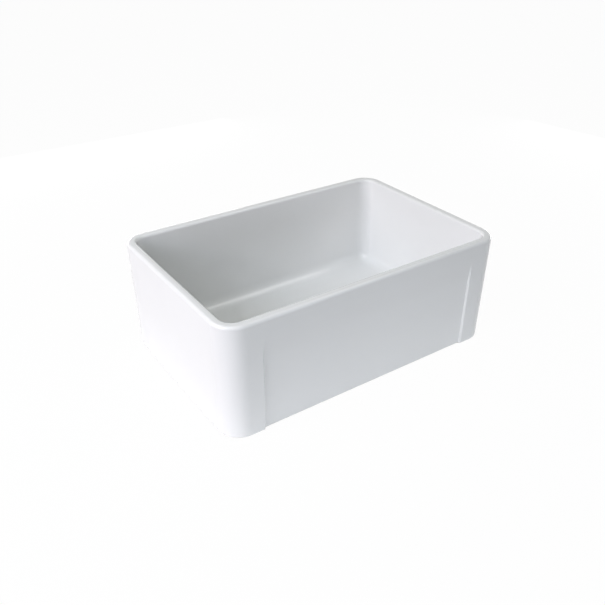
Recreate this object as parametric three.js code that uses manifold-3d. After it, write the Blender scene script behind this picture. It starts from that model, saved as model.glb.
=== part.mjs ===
// A single-bowl farmhouse sink with an apron front, in white glazed fireclay, with the basket
// strainer that makes it hold and drain water.
// Units are millimetres and +Z is up. The apron faces -Y. The origin is where the drain's axis
// meets the plane of the underside.
import * as THREE from 'three';
import { mergeVertices } from 'three/addons/utils/BufferGeometryUtils.js';
import Module from 'manifold-3d';

const wasm = await Module();
wasm.setup();

// ---- Driving dimensions ----------------------------------------------------------------------

// Basin
const basinWidth = 686;
const basinDepth = 457;
const basinHeight = 254;
const rimWidth = 20;
const outerCornerRadius = 48;
const innerCornerRadius = 30;
const outerTaper = 3.4; // how far each outer wall leans in from the rim to the foot
const innerTaper = 4; // how far each inner wall leans in from the rim to the floor
const rimOuterRound = 7;
const rimInnerRound = 6.5;
const footRound = 5;
const floorThickness = 25; // at the walls
const floorFall = 2.5; // from the walls to the drain's axis
const floorRound = 25; // sweep between floor and walls
const footBandWidth = 38; // flat band round the underside that the sink stands on
const undersideRelief = 3; // hollow inside that band
const reliefSlope = 4;
const reliefCornerRadius = 20;

// Apron panel, a field that sinks back between two legs and fades out below the rim
const legWidth = 78;
const panelTopGap = 36; // plain apron above the panel
const panelFadeLength = 54;
const panelFadeDepth = 3.4; // depth where the fade ends
const panelFootDepth = 5; // depth at the foot
const panelStepWidth = 7; // soft step between leg and panel

// Drain opening
const drainDiameter = 90;
const drainSeatDepth = 4; // recess that lets the flange in flush
const drainSeatMargin = 2; // recess beyond the flange

// Strainer body
const flangeDiameter = 114;
const flangeThickness = 1.5;
const flangeDish = 0.9; // fall of the flange's top towards the cup
const sheetThickness = 1.8;
const threadClearance = 2.5; // cup to drain opening
const mouthRound = 2.5;
const cupDepth = 38; // flange top to the edge of the dished bottom
const dishFall = 6;
const outletBore = 37;
const outletOuterDiameter = 47.4;
const outletLength = 28; // below the dished bottom
const guideSeatDepth = 8.3; // wider bore at the top of the outlet, which ends in a ledge
const guideSeatWidth = 1.5; // width of that ledge

// Seals and nuts under the floor
const puttyThickness = 1.5;
const puttyMargin = 1; // putty inside the flange's edge
const gasketDiameter = 113;
const gasketThickness = 4;
const frictionRingDiameter = 111;
const frictionRingThickness = 1.2;
const locknutDiameter = 113;
const locknutFlange = 4;
const locknutCollarDiameter = 98;
const locknutHeight = 13;
const locknutLugs = 6;
const locknutLugWidth = 10;
const locknutLugInset = 1; // from the flange's edge and from both ends
const couplingNutAcrossFlats = 56;
const couplingNutHeight = 24;
const couplingNutLip = 3;
const couplingWasherThickness = 2.5;

// Tailpiece, the pipe end that leads to the trap
const tailpieceDiameter = 38.1;
const tailpieceWall = 1;
const tailpieceLength = 102;
const tailpieceFlangeDiameter = 45;
const tailpieceFlangeThickness = 1.6;

// Post guide in the outlet
const guideHeight = 3;
const guideRingWidth = 1.8;
const guideHubDiameter = 14;
const guideArms = 4;
const guideArmWidth = 3;

// Basket and its post
const basketGap = 1.2; // basket lip to cup wall
const basketHeight = 25;
const basketSheet = 1.2;
const basketLipWidth = 2.6;
const basketBottomDiameter = 60;
const basketBottomRound = 3;
const sideHoleRows = 3;
const sideHolesPerRow = 16;
const sideHoleDiameter = 3.6;
const bottomHoles = 12;
const bottomHoleDiameter = 4.4;
const bottomHoleCircle = 40;
const sealDiameter = 50;
const sealThickness = 5;
const sealRound = 1.2;
const washerDiameter = 22;
const washerThickness = 1.2;
const stemNutAcrossFlats = 14;
const stemNutHeight = 3.2;
const stemDiameter = 8;
const stemReach = 8; // stem below the post guide
const stemCollarDiameter = 12; // shoulder that rests on the basket's bottom
const stemCollarHeight = 3;
const knobDiameter = 19;
const knobHeight = 10;
const knobLift = 12; // basket bottom to the knob's underside
const knobSocketDepth = 6;
const clipThickness = 0.75;
const clipHeight = 4.6;
const clipSlot = 2;

// Clearances
const seatGap = 0.3; // between pieces that seat face to face
const boreGap = 0.4; // between a round piece and the bore that it passes through
const overcut = 1; // how far a cutter runs past the face that it opens

// Smoothness
const cornerSteps = 8;
const roundSteps = 4;
const floorRoundSteps = 6;
const fadeSteps = 6;
const turnSteps = 40;
const smallTurnSteps = 24;
const sideHoleSteps = 6;
const bottomHoleSteps = 8;

// ---- Levels and radii that follow --------------------------------------------------------------

const seatLevel = floorThickness - floorFall - drainSeatDepth;
const puttyBottom = seatLevel + seatGap;
const flangeBottom = puttyBottom + puttyThickness + seatGap;
const flangeTop = flangeBottom + flangeThickness;
const gasketTop = undersideRelief - seatGap;
const frictionRingTop = gasketTop - gasketThickness - seatGap;
const locknutTop = frictionRingTop - frictionRingThickness - seatGap;

const flangeRadius = flangeDiameter / 2;
const drainRadius = drainDiameter / 2;
const cupOuterRadius = drainRadius - threadClearance;
const cupRadius = cupOuterRadius - sheetThickness;
const dishEdge = flangeTop - cupDepth;
const outletTop = dishEdge - dishFall;
const outletEnd = outletTop - outletLength;
const outletRadius = outletBore / 2;
const outletOuterRadius = outletOuterDiameter / 2;
const guideSeatRadius = outletRadius + guideSeatWidth;
const guideLedge = outletTop - guideSeatDepth;
const washerTop = outletEnd - seatGap;
const tailpieceRadius = tailpieceDiameter / 2;
const tailpieceTop = washerTop - couplingWasherThickness - seatGap;
const nutLipTop = tailpieceTop - tailpieceFlangeThickness - seatGap;
const nutBottom = nutLipTop - couplingNutLip;

// The dished bottom's height at a radius, and the basket stack that seals on it.
const dishSlope = dishFall / (cupRadius - guideSeatRadius);
const dishHeight = (radius) => dishEdge - (cupRadius - radius) * dishSlope;
const stemRadius = stemDiameter / 2;
const stemBore = stemRadius + boreGap;
const clipRadius = stemRadius + seatGap;
const clipOuterRadius = clipRadius + clipThickness;
const sealRadius = sealDiameter / 2;
const sealBottom = dishHeight(sealRadius) + seatGap;
const sealTop = sealBottom + sealThickness;
const basketBottom = sealTop + seatGap;
const basketTop = basketBottom + basketHeight;
const retainerTop = sealBottom - seatGap;
const stemNutTop = retainerTop - washerThickness - seatGap;
const guideBottom = guideLedge + seatGap;
const knobBottom = basketBottom + knobLift;

// ---- Materials ---------------------------------------------------------------------------------

const materials = {
  fireclay: new THREE.MeshStandardMaterial({ color: 0xf1f2f3, roughness: 0.12, metalness: 0 }),
  polishedSteel: new THREE.MeshStandardMaterial({ color: 0xc9cacb, roughness: 0.16, metalness: 1 }),
  castZinc: new THREE.MeshStandardMaterial({ color: 0x9b9da0, roughness: 0.45, metalness: 0.9 }),
  brass: new THREE.MeshStandardMaterial({ color: 0xb8985a, roughness: 0.35, metalness: 1 }),
  rubber: new THREE.MeshStandardMaterial({ color: 0x1c1c1d, roughness: 0.8, metalness: 0 }),
  putty: new THREE.MeshStandardMaterial({ color: 0xb9b3a4, roughness: 0.9, metalness: 0 }),
  fibre: new THREE.MeshStandardMaterial({ color: 0x8a6d4b, roughness: 0.9, metalness: 0 }),
  nylon: new THREE.MeshStandardMaterial({ color: 0xe4e2da, roughness: 0.5, metalness: 0 })
};

// ---- Helpers -----------------------------------------------------------------------------------

// A closed three.js geometry as a manifold-3d solid.
function toSolid(geometry) {
  const bare = geometry.clone();
  bare.deleteAttribute('normal');
  bare.deleteAttribute('uv');
  const merged = mergeVertices(bare, 1e-4);
  return new wasm.Manifold(new wasm.Mesh({
    numProp: 3,
    vertProperties: new Float32Array(merged.attributes.position.array),
    triVerts: new Uint32Array(merged.index.array)
  }));
}

function toGeometry(solid) {
  const mesh = solid.getMesh();
  const geometry = new THREE.BufferGeometry();
  geometry.setAttribute('position', new THREE.BufferAttribute(mesh.vertProperties, 3));
  geometry.setIndex(new THREE.BufferAttribute(mesh.triVerts, 1));
  geometry.computeVertexNormals();
  return geometry;
}

function cut(geometry, cutters) {
  const whole = toSolid(geometry);
  return toGeometry(cutters.reduce((solid, cutter) => solid.subtract(toSolid(cutter)), whole));
}

function join(geometry, additions) {
  const start = toSolid(geometry);
  return toGeometry(additions.reduce((solid, piece) => solid.add(toSolid(piece)), start));
}

// Points of an arc in the section plane, [radius, height], at angles in degrees.
function arc(centreRadius, centreHeight, radius, fromDegrees, toDegrees, steps = roundSteps) {
  return Array.from({ length: steps + 1 }, (_, i) => {
    const angle = THREE.MathUtils.degToRad(fromDegrees + (toDegrees - fromDegrees) * i / steps);
    return [centreRadius + radius * Math.cos(angle), centreHeight + radius * Math.sin(angle)];
  });
}

// A closed section of [radius, height] points, counter-clockwise, turned about the Z axis.
function revolve(section, steps = turnSteps) {
  const outline = section.map(([radius, height]) => new THREE.Vector2(Math.max(radius, 0), height));
  if (section[0][0] > 0) {
    outline.push(outline[0].clone());
  }
  return new THREE.LatheGeometry(outline, steps).rotateX(Math.PI / 2);
}

// A flat ring with square edges.
function ring(innerRadius, outerRadius, bottom, top, steps = turnSteps) {
  const section = [[innerRadius, bottom], [outerRadius, bottom], [outerRadius, top], [innerRadius, top]];
  return revolve(section, steps);
}

// A disc with square edges.
function disc(radius, bottom, top, steps = turnSteps) {
  return revolve([[0, bottom], [radius, bottom], [radius, top], [0, top]], steps);
}

// A regular prism standing on its end, with flats that face +X.
function prism(sides, acrossFlats, bottom, top) {
  const cornerRadius = acrossFlats / 2 / Math.cos(Math.PI / sides);
  return new THREE.CylinderGeometry(cornerRadius, cornerRadius, top - bottom, sides)
    .rotateX(Math.PI / 2)
    .rotateZ(Math.PI / 2 + Math.PI / sides)
    .translate(0, 0, (top + bottom) / 2);
}

// A box given by its limits along X, Y and Z.
function block(x0, x1, y0, y1, z0, z1) {
  return new THREE.BoxGeometry(x1 - x0, y1 - y0, z1 - z0)
    .translate((x0 + x1) / 2, (y0 + y1) / 2, (z0 + z1) / 2);
}

// ---- Basin -------------------------------------------------------------------------------------

// How far the apron panel lies behind the legs at a height.
function panelDepthAt(height) {
  const below = basinHeight - panelTopGap - height;
  if (below <= 0) {
    return 0;
  }
  const fade = THREE.MathUtils.smoothstep(below, 0, panelFadeLength);
  const lean = below / (basinHeight - panelTopGap);
  return panelFadeDepth * fade + (panelFootDepth - panelFadeDepth) * lean;
}

// Where the front side of a ring has its points, [x, share of the panel's depth], left to right.
// They keep off the ring's corners, whose straight side reaches out to straightHalf.
function panelStations(straightHalf) {
  const edge = Math.min(basinWidth / 2 - legWidth, straightHalf - 1);
  const half = [[edge, 0], [edge - panelStepWidth * 0.35, 0.25], [edge - panelStepWidth * 0.65, 0.75],
    [edge - panelStepWidth, 1]];
  return [...half.map(([x, share]) => [-x, share]), [0, 1], ...half.toReversed()];
}

// One level of the basin: a rounded rectangle, counter-clockwise from above, inset from the rim's
// outer outline. Its front side is set back by the panel's depth between the legs.
function basinRing(inset, corner, height, panelDepth = 0) {
  const halfWidth = basinWidth / 2 - inset;
  const halfDepth = basinDepth / 2 - inset;
  const points = panelStations(halfWidth - corner)
    .map(([x, share]) => new THREE.Vector3(x, -halfDepth + share * panelDepth, height));
  [[1, -1], [1, 1], [-1, 1], [-1, -1]].forEach(([sideX, sideY], quarter) => {
    for (let i = 0; i <= cornerSteps; i++) {
      const angle = (quarter - 1 + i / cornerSteps) * Math.PI / 2;
      points.push(new THREE.Vector3(
        sideX * (halfWidth - corner) + corner * Math.cos(angle),
        sideY * (halfDepth - corner) + corner * Math.sin(angle),
        height
      ));
    }
  });
  return points;
}

// A closed skin over rings with equal numbers of points, each end closed by a fan to a centre.
function loft(rings, firstCentre, lastCentre) {
  const count = rings[0].length;
  const centres = rings.length * count;
  const indices = [];
  for (let i = 0; i < count; i++) {
    const next = (i + 1) % count;
    indices.push(centres, i, next);
    for (let r = 0; r < rings.length - 1; r++) {
      const a = r * count;
      const b = a + count;
      indices.push(a + i, b + i, b + next, a + i, b + next, a + next);
    }
    indices.push(centres + 1, centres - count + next, centres - count + i);
  }
  const geometry = new THREE.BufferGeometry().setFromPoints([...rings.flat(), firstCentre, lastCentre]);
  return geometry.setIndex(indices);
}

// Quarter turn of a rounding in equal steps: [share along the first side, share along the second].
function quarter(steps) {
  return Array.from({ length: steps + 1 }, (_, i) => {
    const angle = Math.PI / 2 * i / steps;
    return [Math.sin(angle), 1 - Math.cos(angle)];
  });
}

function fireclayBasin() {
  const innerTop = basinHeight - rimInnerRound;
  const outerTop = basinHeight - rimOuterRound;
  const panelTop = basinHeight - panelTopGap;
  const outerInset = (height) => outerTaper * (outerTop - height) / outerTop;
  const rings = [];

  // Floor sweep, from the floor up to the wall.
  quarter(floorRoundSteps).forEach(([across, up]) => {
    const inward = floorRound * (1 - across);
    rings.push(basinRing(rimWidth + innerTaper + inward, innerCornerRadius - inward,
      floorThickness + floorRound * up));
  });
  // Inner wall and rim.
  quarter(roundSteps).forEach(([up, back]) => {
    rings.push(basinRing(rimWidth - rimInnerRound * back, innerCornerRadius + rimInnerRound * back,
      innerTop + rimInnerRound * up));
  });
  quarter(roundSteps).forEach(([out, down]) => {
    rings.push(basinRing(rimOuterRound * (1 - out), outerCornerRadius - rimOuterRound * (1 - out),
      basinHeight - rimOuterRound * down));
  });
  // Outer wall, with the panel's fade, down to the foot's rounding.
  for (let i = 0; i <= fadeSteps; i++) {
    const height = panelTop - panelFadeLength * i / fadeSteps;
    rings.push(basinRing(outerInset(height), outerCornerRadius, height, panelDepthAt(height)));
  }
  quarter(roundSteps).forEach(([down, inward]) => {
    const height = footRound * (1 - down);
    rings.push(basinRing(outerInset(height) + footRound * inward, outerCornerRadius - footRound * inward,
      height, panelDepthAt(height)));
  });
  // Underside: the band that stands on the cabinet, and the relief inside it.
  const bandInset = outerTaper + footBandWidth;
  rings.push(basinRing(bandInset, reliefCornerRadius, 0));
  rings.push(basinRing(bandInset + reliefSlope, reliefCornerRadius, undersideRelief));

  const skin = loft(rings, new THREE.Vector3(0, 0, floorThickness - floorFall),
    new THREE.Vector3(0, 0, undersideRelief));
  const seatRadius = flangeRadius + drainSeatMargin;
  return cut(skin, [
    disc(drainRadius, -overcut, floorThickness),
    disc(seatRadius, seatLevel, floorThickness + overcut)
  ]);
}

// ---- Strainer body, seals and nuts ---------------------------------------------------------------

function strainerBody() {
  const below = sheetThickness * Math.hypot(1, dishSlope); // the dish's thickness measured upright
  const mouth = flangeTop - flangeDish;
  return revolve([
    // Outlet, from its end up the outside.
    [outletRadius, outletEnd],
    [outletOuterRadius, outletEnd],
    [outletOuterRadius, dishHeight(outletOuterRadius) - below],
    // Dished bottom and threaded wall, outside.
    [cupOuterRadius - sheetThickness, dishEdge - below],
    [cupOuterRadius, dishEdge - below + sheetThickness],
    [cupOuterRadius, flangeBottom - mouthRound],
    [cupOuterRadius + mouthRound * 0.3, flangeBottom - mouthRound * 0.3],
    [cupOuterRadius + mouthRound, flangeBottom],
    // Flange.
    [flangeRadius, flangeBottom],
    [flangeRadius, flangeBottom + flangeThickness * 0.5],
    [flangeRadius - flangeThickness * 0.6, flangeTop],
    [flangeRadius - flangeThickness * 2, flangeTop],
    // Mouth and cup, inside.
    ...arc(cupRadius + mouthRound, mouth - mouthRound, mouthRound, 90, 180),
    [cupRadius, dishEdge],
    [guideSeatRadius, outletTop],
    // Seat of the post guide and the bore of the outlet.
    [guideSeatRadius, guideLedge],
    [outletRadius, guideLedge]
  ]);
}

function flangePutty() {
  return ring(drainRadius + puttyMargin, flangeRadius - puttyMargin,
    puttyBottom, puttyBottom + puttyThickness);
}

function sinkGasket() {
  const inner = cupOuterRadius + boreGap;
  const outer = gasketDiameter / 2;
  const bottom = gasketTop - gasketThickness;
  const bevel = gasketThickness / 4;
  return revolve([
    [inner, bottom], [outer - bevel, bottom], [outer, bottom + bevel],
    [outer, gasketTop - bevel], [outer - bevel, gasketTop], [inner, gasketTop]
  ]);
}

function frictionRing() {
  return ring(cupOuterRadius + boreGap, frictionRingDiameter / 2,
    frictionRingTop - frictionRingThickness, frictionRingTop);
}

function locknut() {
  const bore = cupOuterRadius + boreGap;
  const collar = locknutCollarDiameter / 2;
  const outer = locknutDiameter / 2;
  const bottom = locknutTop - locknutHeight;
  const shoulder = locknutTop - locknutFlange;
  const body = revolve([
    [bore, bottom], [collar, bottom], [collar, shoulder], [outer, shoulder],
    [outer, locknutTop], [bore, locknutTop]
  ]);
  const lugRoot = (collar + bore) / 2;
  const lugs = Array.from({ length: locknutLugs }, (_, i) =>
    block(lugRoot, outer - locknutLugInset, -locknutLugWidth / 2, locknutLugWidth / 2,
      bottom + locknutLugInset, locknutTop - locknutLugInset)
      .rotateZ(2 * Math.PI * i / locknutLugs));
  return join(body, lugs);
}

function couplingWasher() {
  return ring(outletRadius, outletOuterRadius - boreGap, washerTop - couplingWasherThickness, washerTop);
}

function couplingNut() {
  const top = nutBottom + couplingNutHeight;
  const cornerRadius = couplingNutAcrossFlats / 2 / Math.cos(Math.PI / 6);
  const flatRadius = couplingNutAcrossFlats / 2;
  const chamfer = cornerRadius - flatRadius;
  // A turned blank takes the corners off the hexagon at both ends.
  const blank = toSolid(revolve([
    [0, nutBottom], [flatRadius, nutBottom], [cornerRadius, nutBottom + chamfer],
    [cornerRadius, top - chamfer], [flatRadius, top], [0, top]
  ]));
  const hexagon = toSolid(prism(6, couplingNutAcrossFlats, nutBottom, top));
  return cut(toGeometry(blank.intersect(hexagon)), [
    disc(outletOuterRadius + boreGap, nutLipTop, top + overcut),
    disc(tailpieceRadius + boreGap, nutBottom - overcut, top)
  ]);
}

// A plain tube whose flared top hangs in the coupling nut.
function tailpiece() {
  const bore = tailpieceRadius - tailpieceWall;
  const end = tailpieceTop - tailpieceLength;
  const flange = tailpieceFlangeDiameter / 2;
  return revolve([
    [bore, end],
    [tailpieceRadius, end],
    [tailpieceRadius, tailpieceTop - tailpieceFlangeThickness],
    [flange, tailpieceTop - tailpieceFlangeThickness],
    [flange, tailpieceTop],
    [bore, tailpieceTop]
  ]);
}

// The spider in the outlet that steadies the basket's stem and lets water past.
function postGuide() {
  const outer = guideSeatRadius - boreGap;
  const inner = outer - guideRingWidth;
  const top = guideBottom + guideHeight;
  const hub = guideHubDiameter / 2;
  const rim = ring(inner, outer, guideBottom, top);
  const arms = Array.from({ length: guideArms }, (_, i) =>
    block(hub / 2, (inner + outer) / 2, -guideArmWidth / 2, guideArmWidth / 2, guideBottom, top)
      .rotateZ(2 * Math.PI * i / guideArms));
  const spider = join(rim, [...arms, disc(hub, guideBottom, top, smallTurnSteps)]);
  return cut(spider, [disc(clipOuterRadius + seatGap, guideBottom - overcut, top + overcut, smallTurnSteps)]);
}

// ---- Basket, its seal and its post ---------------------------------------------------------------

function basketCup() {
  const lipRadius = cupRadius - basketGap;
  const wallTop = lipRadius - basketLipWidth;
  const wallFoot = basketBottomDiameter / 2;
  const lean = (wallTop - wallFoot) / (basketHeight - basketBottomRound);
  const plateTop = basketBottom + basketSheet;
  const cup = revolve([
    // Underside and outside of the wall.
    [stemBore, basketBottom],
    [wallFoot - basketBottomRound, basketBottom],
    [wallFoot, basketBottom + basketBottomRound],
    [wallTop, basketTop - basketSheet],
    [lipRadius, basketTop - basketSheet],
    // Lip and inside.
    [lipRadius, basketTop],
    [wallTop - basketSheet, basketTop],
    [wallFoot - basketSheet, basketBottom + basketBottomRound],
    [wallFoot - basketSheet - basketBottomRound / 2, plateTop],
    [stemBore, plateTop]
  ]);

  const holes = [];
  const holeRadius = sideHoleDiameter / 2;
  const rowSpacing = (basketHeight - basketBottomRound - basketSheet) / (sideHoleRows + 0.5);
  for (let row = 0; row < sideHoleRows; row++) {
    const rise = rowSpacing * (row + 0.75);
    const wallRadius = wallFoot + lean * rise;
    for (let i = 0; i < sideHolesPerRow; i++) {
      const angle = 2 * Math.PI * (i + (row % 2) / 2) / sideHolesPerRow;
      const cutter = new THREE.CylinderGeometry(holeRadius, holeRadius, 4 * basketSheet, sideHoleSteps);
      holes.push(cutter
        .rotateZ(Math.PI / 2)
        .translate(wallRadius - basketSheet / 2, 0, basketBottom + basketBottomRound + rise)
        .rotateZ(angle));
    }
  }
  for (let i = 0; i < bottomHoles; i++) {
    holes.push(disc(bottomHoleDiameter / 2, basketBottom - overcut, plateTop + overcut, bottomHoleSteps)
      .translate(bottomHoleCircle / 2, 0, 0)
      .rotateZ(2 * Math.PI * i / bottomHoles));
  }
  return cut(cup, holes);
}

function stopperSeal() {
  return revolve([
    [stemBore, sealBottom],
    ...arc(sealRadius - sealRound, sealBottom + sealRound, sealRound, -90, 0, 2),
    ...arc(sealRadius - sealRound, sealTop - sealRound, sealRound, 0, 90, 2),
    [stemBore, sealTop]
  ]);
}

function sealWasher() {
  return ring(stemBore, washerDiameter / 2, retainerTop - washerThickness, retainerTop, smallTurnSteps);
}

function stemNut() {
  return cut(prism(6, stemNutAcrossFlats, stemNutTop - stemNutHeight, stemNutTop),
    [disc(stemBore, stemNutTop - stemNutHeight - overcut, stemNutTop + overcut, smallTurnSteps)]);
}

// The stem, with a shoulder above the basket's bottom and a rounded tip below the guide.
function basketPost() {
  const tip = guideBottom - stemReach;
  const tipRound = stemRadius * 0.5;
  const collar = stemCollarDiameter / 2;
  const collarBottom = basketBottom + basketSheet + seatGap;
  const top = knobBottom + knobSocketDepth - seatGap;
  return revolve([
    [0, tip],
    ...arc(stemRadius - tipRound, tip + tipRound, tipRound, -90, 0, 3),
    [stemRadius, collarBottom],
    [collar, collarBottom],
    [collar, collarBottom + stemCollarHeight],
    [stemRadius, collarBottom + stemCollarHeight],
    [stemRadius, top],
    [0, top]
  ], smallTurnSteps);
}

// The round knob that the basket is lifted by, with a socket for the stem.
function basketKnob() {
  const radius = knobDiameter / 2;
  const side = knobHeight * 0.3; // radius of the knob's rounded side
  const socket = stemRadius + seatGap;
  const top = knobBottom + knobHeight;
  return revolve([
    [0, knobBottom + knobSocketDepth],
    [socket, knobBottom + knobSocketDepth],
    [socket, knobBottom],
    ...arc(radius - side, knobBottom + side, side, -90, 55, 5),
    [radius * 0.5, top - side * 0.2],
    [0, top]
  ], smallTurnSteps);
}

// Split spring sleeve on the stem, which grips the guide's hub when the basket is lifted.
function detentClip() {
  const top = guideBottom + (guideHeight + clipHeight) / 2;
  const bottom = top - clipHeight;
  const sleeve = ring(clipRadius, clipOuterRadius, bottom, top, smallTurnSteps);
  return cut(sleeve, [
    block(0, clipOuterRadius + overcut, -clipSlot / 2, clipSlot / 2, bottom - overcut, top + overcut)
  ]);
}

// ---- Assembly ------------------------------------------------------------------------------------

function piece(name, geometry, material) {
  const mesh = new THREE.Mesh(geometry, materials[material]);
  mesh.name = name;
  return mesh;
}

const fixedPieces = new THREE.Group();
fixedPieces.add(
  piece('fireclay_basin', fireclayBasin(), 'fireclay'),
  piece('flange_putty', flangePutty(), 'putty'),
  piece('strainer_body', strainerBody(), 'polishedSteel'),
  piece('post_guide', postGuide(), 'polishedSteel'),
  piece('sink_gasket', sinkGasket(), 'rubber'),
  piece('friction_ring', frictionRing(), 'fibre'),
  piece('locknut', locknut(), 'castZinc'),
  piece('coupling_washer', couplingWasher(), 'nylon'),
  piece('tailpiece', tailpiece(), 'polishedSteel'),
  piece('coupling_nut', couplingNut(), 'brass')
);

// The basket lifts straight out along +Z.
const basketPieces = new THREE.Group();
basketPieces.add(
  piece('basket_cup', basketCup(), 'polishedSteel'),
  piece('basket_post', basketPost(), 'polishedSteel'),
  piece('basket_knob', basketKnob(), 'polishedSteel'),
  piece('stopper_seal', stopperSeal(), 'rubber'),
  piece('seal_washer', sealWasher(), 'polishedSteel'),
  piece('stem_nut', stemNut(), 'brass'),
  piece('detent_clip', detentClip(), 'polishedSteel')
);

const farmhouseSink = new THREE.Group();
farmhouseSink.add(fixedPieces, basketPieces);

export default farmhouseSink;
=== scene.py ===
import math

import bmesh
import bpy
from mathutils import Matrix, Vector


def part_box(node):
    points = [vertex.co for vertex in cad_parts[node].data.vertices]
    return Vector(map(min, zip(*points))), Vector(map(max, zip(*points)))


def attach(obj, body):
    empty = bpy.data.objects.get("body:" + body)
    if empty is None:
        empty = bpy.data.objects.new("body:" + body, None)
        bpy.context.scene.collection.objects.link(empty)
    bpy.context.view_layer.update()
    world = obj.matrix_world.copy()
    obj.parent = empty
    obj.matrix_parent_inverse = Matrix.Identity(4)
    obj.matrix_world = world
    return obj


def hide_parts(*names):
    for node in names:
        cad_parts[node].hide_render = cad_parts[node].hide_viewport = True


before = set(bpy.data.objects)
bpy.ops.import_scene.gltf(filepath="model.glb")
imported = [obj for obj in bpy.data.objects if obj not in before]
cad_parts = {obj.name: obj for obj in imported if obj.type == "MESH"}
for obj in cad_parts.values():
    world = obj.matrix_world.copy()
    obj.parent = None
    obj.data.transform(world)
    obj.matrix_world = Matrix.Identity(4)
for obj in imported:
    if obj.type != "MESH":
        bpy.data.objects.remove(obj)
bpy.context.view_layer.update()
print("loaded the frame,", len(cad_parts), "nodes")

up = Vector((0, 0, 1))
origin = Vector((0, 0, 0))
fullTurn = 2 * math.pi
hexCosine = math.cos(math.pi / 6)  # distance to a hexagon's flat over that to its corner

turnSteps = 96  # faces round a turned piece
smallSteps = 64  # round a small one
boreSteps = 48  # round a narrow bore
smallRound = 0.001  # roundings under this have few facets
smallRoundSegments = 3
largeRoundSegments = 6
barSegments = 2

near = 1e-5  # heights closer than this are the same
ringNear = 2e-6
mergeNear = 1e-7
pastFace = 0.001  # how far a cutting shape passes the face that it cuts
steep = 0.5  # a face whose normal rises by less is a wall

sharpAngle = 40  # degrees past which an edge stays sharp
normalWeight = 60  # how much large faces pull the normals beside them


# mesh helpers

def addObject(name, bm):
    bmesh.ops.recalc_face_normals(bm, faces=bm.faces)
    mesh = bpy.data.meshes.new(name)
    bm.to_mesh(mesh)
    bm.free()
    mesh.shade_smooth()
    thing = bpy.data.objects.new(name, mesh)
    bpy.context.scene.collection.objects.link(thing)
    return thing


def carve(piece, bm, operation="DIFFERENCE"):  # cuts, adds or keeps the shape in bm
    tool = addObject("carvingTool", bm)
    step = piece.modifiers.new("carve", "BOOLEAN")
    step.operation = operation
    step.solver = "EXACT"
    step.object = tool
    with bpy.context.temp_override(object=piece, active_object=piece, selected_objects=[piece]):
        bpy.ops.object.modifier_apply(modifier="carve")
    bpy.data.objects.remove(tool)


def dress(piece, materials, body, node, angle=sharpAngle):
    for material in materials:
        piece.data.materials.append(material)
    piece.data.shade_smooth()
    piece.data.set_sharp_from_angle(angle=math.radians(angle))
    even = piece.modifiers.new("evenNormals", "WEIGHTED_NORMAL")
    even.weight = normalWeight
    even.keep_sharp = True
    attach(piece, body)
    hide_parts(node)
    print("made", piece.name, len(piece.data.polygons), "faces")


def bevelEdges(bm, edges, offset, segments):
    bmesh.ops.bevel(bm, geom=edges, offset=offset, offset_type="OFFSET", segments=segments,
                    profile=0.5, affect="EDGES", clamp_overlap=False, material=-1)


def bisectAt(bm, faces, point, normal):
    edges = {e for f in faces for e in f.edges}
    verts = {v for f in faces for v in f.verts}
    bmesh.ops.bisect_plane(bm, geom=[*faces, *edges, *verts], dist=mergeNear,
                           plane_co=point, plane_no=normal)


def onlyVerts(geometry):
    return [g for g in geometry if isinstance(g, bmesh.types.BMVert)]


def isUpright(edge, rise):
    return abs(edge.verts[0].co.z - edge.verts[1].co.z) > rise


def turn(bm, corners, closed=True, steps=turnSteps, angle=fullTurn, start=0.0):
    # spins a section of (radius, height, rounding) corners about the drain's axis, then rounds its rings
    verts = [bm.verts.new((radius * math.cos(start), radius * math.sin(start), height))
             for radius, height, _ in corners]
    pairs = list(zip(verts, verts[1:]))
    if closed:
        pairs.append((verts[-1], verts[0]))
    edges = [bm.edges.new(pair) for pair in pairs]
    bmesh.ops.spin(bm, geom=[*verts, *edges], axis=up, cent=origin, angle=angle, steps=steps,
                   use_merge=angle == fullTurn)
    bmesh.ops.remove_doubles(bm, verts=bm.verts, dist=mergeNear)
    bmesh.ops.recalc_face_normals(bm, faces=bm.faces)
    for radius, height, rounding in corners:
        if rounding:
            segments = smallRoundSegments if rounding < smallRound else largeRoundSegments
            bevelEdges(bm, ringEdges(bm, radius, height), rounding, segments)


def ringEdges(bm, radius, height):
    def onRing(v):
        return (abs(v.co.z - height) < ringNear
                and abs(math.hypot(v.co.x, v.co.y) - radius) < ringNear)
    return [e for e in bm.edges if onRing(e.verts[0]) and onRing(e.verts[1])]


def turned(name, corners, **options):
    bm = bmesh.new()
    turn(bm, corners, **options)
    return addObject(name, bm)


thread = {
    "crestStart": 0.42,  # share of the pitch at which the flat crest starts
    "crestEnd": 0.58,
    "steps": 48,  # faces in each turn
}


def addThread(bm, root, crest, bottom, top, pitch):  # a ridge wound round the axis
    steps = thread["steps"]
    section = [(root, bottom), (crest, bottom + pitch * thread["crestStart"]),
               (crest, bottom + pitch * thread["crestEnd"]), (root, bottom + pitch)]
    verts = [bm.verts.new((radius, 0, height)) for radius, height in section]
    edges = [bm.edges.new(pair) for pair in zip(verts, verts[1:] + verts[:1])]
    turns = (top - bottom - pitch) / pitch
    bmesh.ops.spin(bm, geom=[*verts, *edges], axis=up, cent=origin, angle=fullTurn * turns,
                   steps=round(turns * steps), dvec=(0, 0, pitch / steps), use_merge=False)
    bmesh.ops.holes_fill(bm, edges=[e for e in bm.edges if e.is_boundary], sides=4)


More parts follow.
